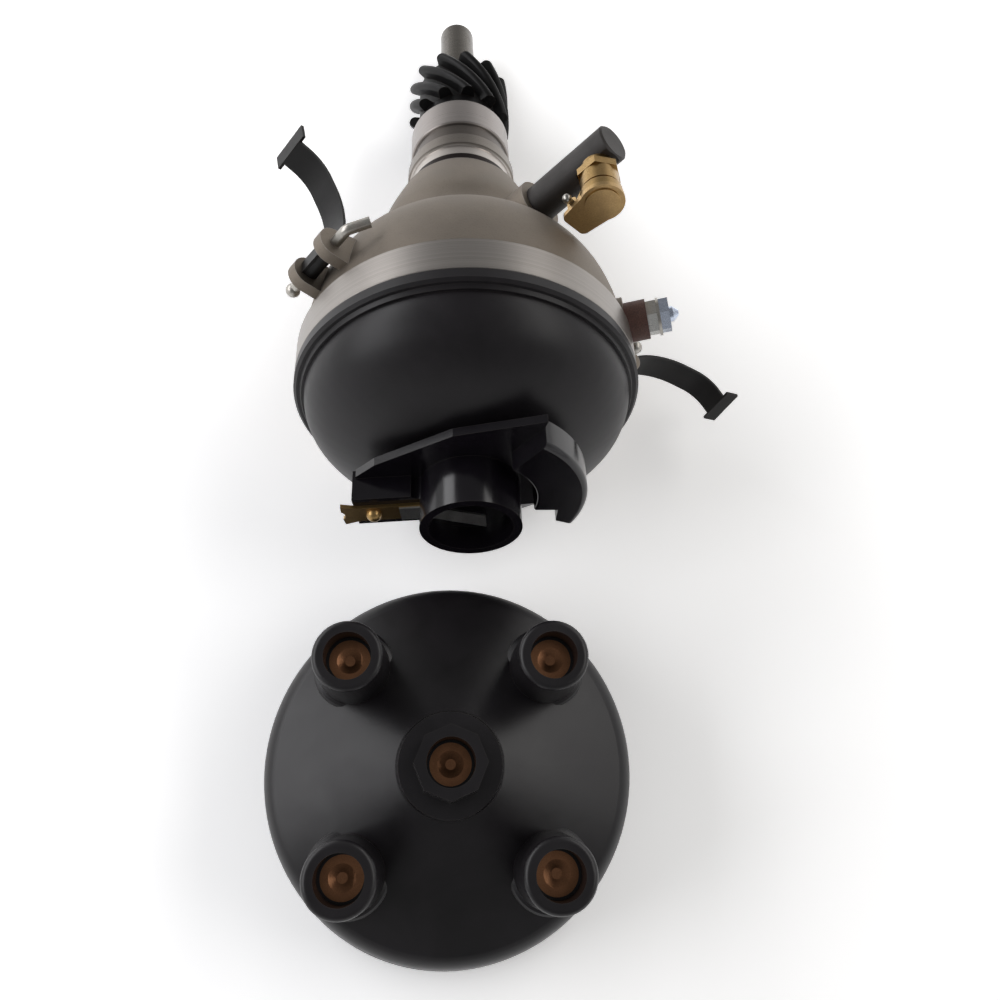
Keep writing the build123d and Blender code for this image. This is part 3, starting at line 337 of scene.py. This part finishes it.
shaft_lathe = (bowl_mouth, shaft_axis)
casting_metal = casting()
satin_moulding = moulding("satin_moulding", phenolic, 0.36, 0.26, 0.03 * MM, 0.30)
cap_moulding = moulding("cap_moulding", phenolic, 0.33, 0.5, 0.04 * MM, 0.40)
glossy_moulding = moulding("glossy_moulding", rotor_black, 0.14, 0.2, 0.015 * MM, 0.42)
ground_steel = metal("ground_steel", shaft_steel, 0.20, 0.22 * MM, lathe_axis=shaft_lathe, bump=0.002 * MM)
plain_steel = metal("plain_steel", bare_steel, 0.24, 0.4 * MM)
pin_steel = metal("pin_steel", dull_steel, 0.30, 0.3 * MM, stain=tarnish)
zinc_plate = metal("zinc_plate", zinc, 0.26, 0.4 * MM, wear=bare_steel, stain=shade(zinc, 0.6))
bright_zinc = metal("bright_zinc", blue_zinc, 0.18, 0.4 * MM, wear=bare_steel)
gear_black = metal("gear_black", gear_oxide, 0.42, 0.4 * MM, wear=gear_worn, metallic=0.0, bump=0.015 * MM,
                   gloss=0.22)
spring_black = metal("spring_black", black_oxide, 0.36, 0.4 * MM, wear=black_oxide_worn, metallic=0.0,
                     bump=0.012 * MM, gloss=0.22)
tube_black = metal("tube_black", black_paint, 0.52, 0.4 * MM, wear=phenolic_dust, metallic=0.0,
                   bump=0.03 * MM)
seal_black = fibre("seal_black", phenolic)
aged_brass = metal("aged_brass", brass, 0.24, 0.35 * MM, wear=brass_worn, stain=tarnish, stain_share=0.25)
dull_brass = metal("dull_brass", tower_brown, 0.30, 0.3 * MM, stain=tarnish)
soft_brass = metal("soft_brass", lid_brass, 0.27, 0.35 * MM, wear=brass_worn, stain=tarnish, stain_share=0.25)
leaf_steel = metal("leaf_steel", zinc, 0.30, 0.3 * MM)
rotor_brass = metal("rotor_brass", brass, 0.28, 0.3 * MM, wear=brass_worn, stain=tarnish, stain_share=0.5)
bronze = metal("bronze", bronze_brown, 0.40, 0.3 * MM)
copper_strip = metal("copper_strip", copper, 0.28, 0.4 * MM, stain=tarnish)
brown_fibre = fibre("brown_fibre", brown_phenolic, 0.35 * MM, 0.03 * MM)
red_fibre = fibre("red_fibre", red_phenolic)
oiled_felt = fibre("oiled_felt", felt, 0.25 * MM, 0.08 * MM)
pressed_carbon = fibre("pressed_carbon", carbon, 0.3 * MM, 0.02 * MM)

worn_by = {
    casting_metal: ["housing"],
    satin_moulding: ["dust_cover"],
    cap_moulding: ["cap_shell"],
    glossy_moulding: ["rotor_body"],
    ground_steel: ["shaft"],
    plain_steel: ["breaker_pivot_post", "breaker_spring", "oil_cup_hinge_pin", "gear_pin", "cam_screw",
                  "flyweight_front", "flyweight_rear", "advance_spring_front", "advance_spring_rear", "cam",
                  "moving_contact", "fixed_contact"],
    pin_steel: ["left_clip_pin", "right_clip_pin", "terminal_washer"],
    zinc_plate: ["breaker_plate", "breaker_plate_screws", "breaker_lever", "contact_bracket", "contact_screw",
                 "condenser", "condenser_strap", "condenser_screw", "terminal_clamp_nut", "weight_plate"],
    bright_zinc: ["terminal_stud", "terminal_nut"],
    gear_black: ["drive_gear", "gear_thrust_washer"],
    spring_black: ["left_cap_clip", "right_cap_clip"],
    tube_black: ["oil_tube"],
    seal_black: ["shank_seal_ring"],
    aged_brass: ["oil_cup_body"],
    soft_brass: ["oil_cup_lid"],
    leaf_steel: ["rotor_leaf_spring"],
    rotor_brass: ["rotor_electrode", "electrode_rivet"],
    dull_brass: ["cap_tower_terminals", "cap_centre_terminal"],
    bronze: ["upper_bushing", "lower_bushing"],
    copper_strip: ["primary_strap"],
    brown_fibre: ["terminal_bush"],
    red_fibre: ["rubbing_block"],
    oiled_felt: ["cam_felt", "oil_wick"],
    pressed_carbon: ["carbon_button"],
}
for material, names in worn_by.items():
    for name in names:
        piece = frame["nodes"][name]
        piece.data.materials.clear()
        piece.data.materials.append(material)


def pale_floor():
    """A plain floor that the camera, metal and glass all see as white, with the object's shadow on it."""
    bpy.ops.mesh.primitive_plane_add(size=floor_size, location=(0, 0, 0))
    floor = bpy.context.object
    floor.name = "floor"
    recipe = Recipe("pale_floor")
    cloud = recipe.noise(0.5, detail=2.0)
    path = recipe.node("ShaderNodeLightPath")
    seen = recipe.most(path.outputs["Is Camera Ray"], path.outputs["Is Glossy Ray"])
    seen = recipe.most(seen, path.outputs["Is Transmission Ray"])
    color = recipe.blend_colors(cloud, floor_dark, floor_light)
    color = recipe.blend_colors(seen, color, floor_seen)
    recipe.finish(color, recipe.spread(cloud, 0.0, 1.0, 0.8, 0.9), 0.0)
    recipe.shader.inputs["Specular IOR Level"].default_value = 0.0
    floor.data.materials.append(recipe.material)


def window(name, place, length, width, level, color):
    """A long window of light beside the object, parallel to the shaft's run across the floor."""
    light = bpy.data.lights.new(name, "AREA")
    light.shape = "RECTANGLE"
    light.size = length
    light.size_y = width
    light.energy = level * math.pi * length * width
    light.color = color
    lamp = bpy.data.objects.new(name, light)
    bpy.context.collection.objects.link(lamp)
    lamp.location = place
    toward_object = Vector((-place[0], 0.0, -place[2]))
    lamp.rotation_mode = "QUATERNION"
    lamp.rotation_quaternion = toward_object.to_track_quat("-Z", "Y")


def studio():
    world = bpy.data.worlds.new("studio")
    bpy.context.scene.world = world
    world.use_nodes = True
    nodes = world.node_tree.nodes
    links = world.node_tree.links
    back = nodes["Background"]
    back.inputs["Color"].default_value = (1, 1, 1, 1)
    sky = nodes.new("ShaderNodeTexCoord")
    parts = nodes.new("ShaderNodeSeparateXYZ")
    level = nodes.new("ShaderNodeMapRange")
    level.interpolation_type = "SMOOTHSTEP"
    level.inputs["From Min"].default_value = horizon_edge
    level.inputs["From Max"].default_value = ceiling_edge
    level.inputs["To Min"].default_value = horizon_level
    level.inputs["To Max"].default_value = ceiling_level
    links.new(sky.outputs["Generated"], parts.inputs["Vector"])
    links.new(parts.outputs["Z"], level.inputs["Value"])
    links.new(level.outputs["Result"], back.inputs["Strength"])
    window("left_window", left_window_place, *left_window_size, left_window_level, cool_light)
    window("right_window", right_window_place, *right_window_size, right_window_level, warm_light)


def camera():
    data = bpy.data.cameras.new("camera")
    data.sensor_width = sensor_width
    data.lens = sensor_width * focal_pixels / frame_pixels
    data.clip_start = 0.01
    taken = bpy.data.objects.new("camera", data)
    bpy.context.collection.objects.link(taken)
    taken.location = (bowl_mouth.x + camera_beside_mouth.x, bowl_mouth.y + camera_beside_mouth.y,
                      camera_height)
    taken.rotation_euler = Euler([math.radians(angle) for angle in camera_turn], "XYZ")
    bpy.context.scene.camera = taken


pale_floor()
studio()
camera()
bpy.context.scene.view_settings.view_transform = "Standard"
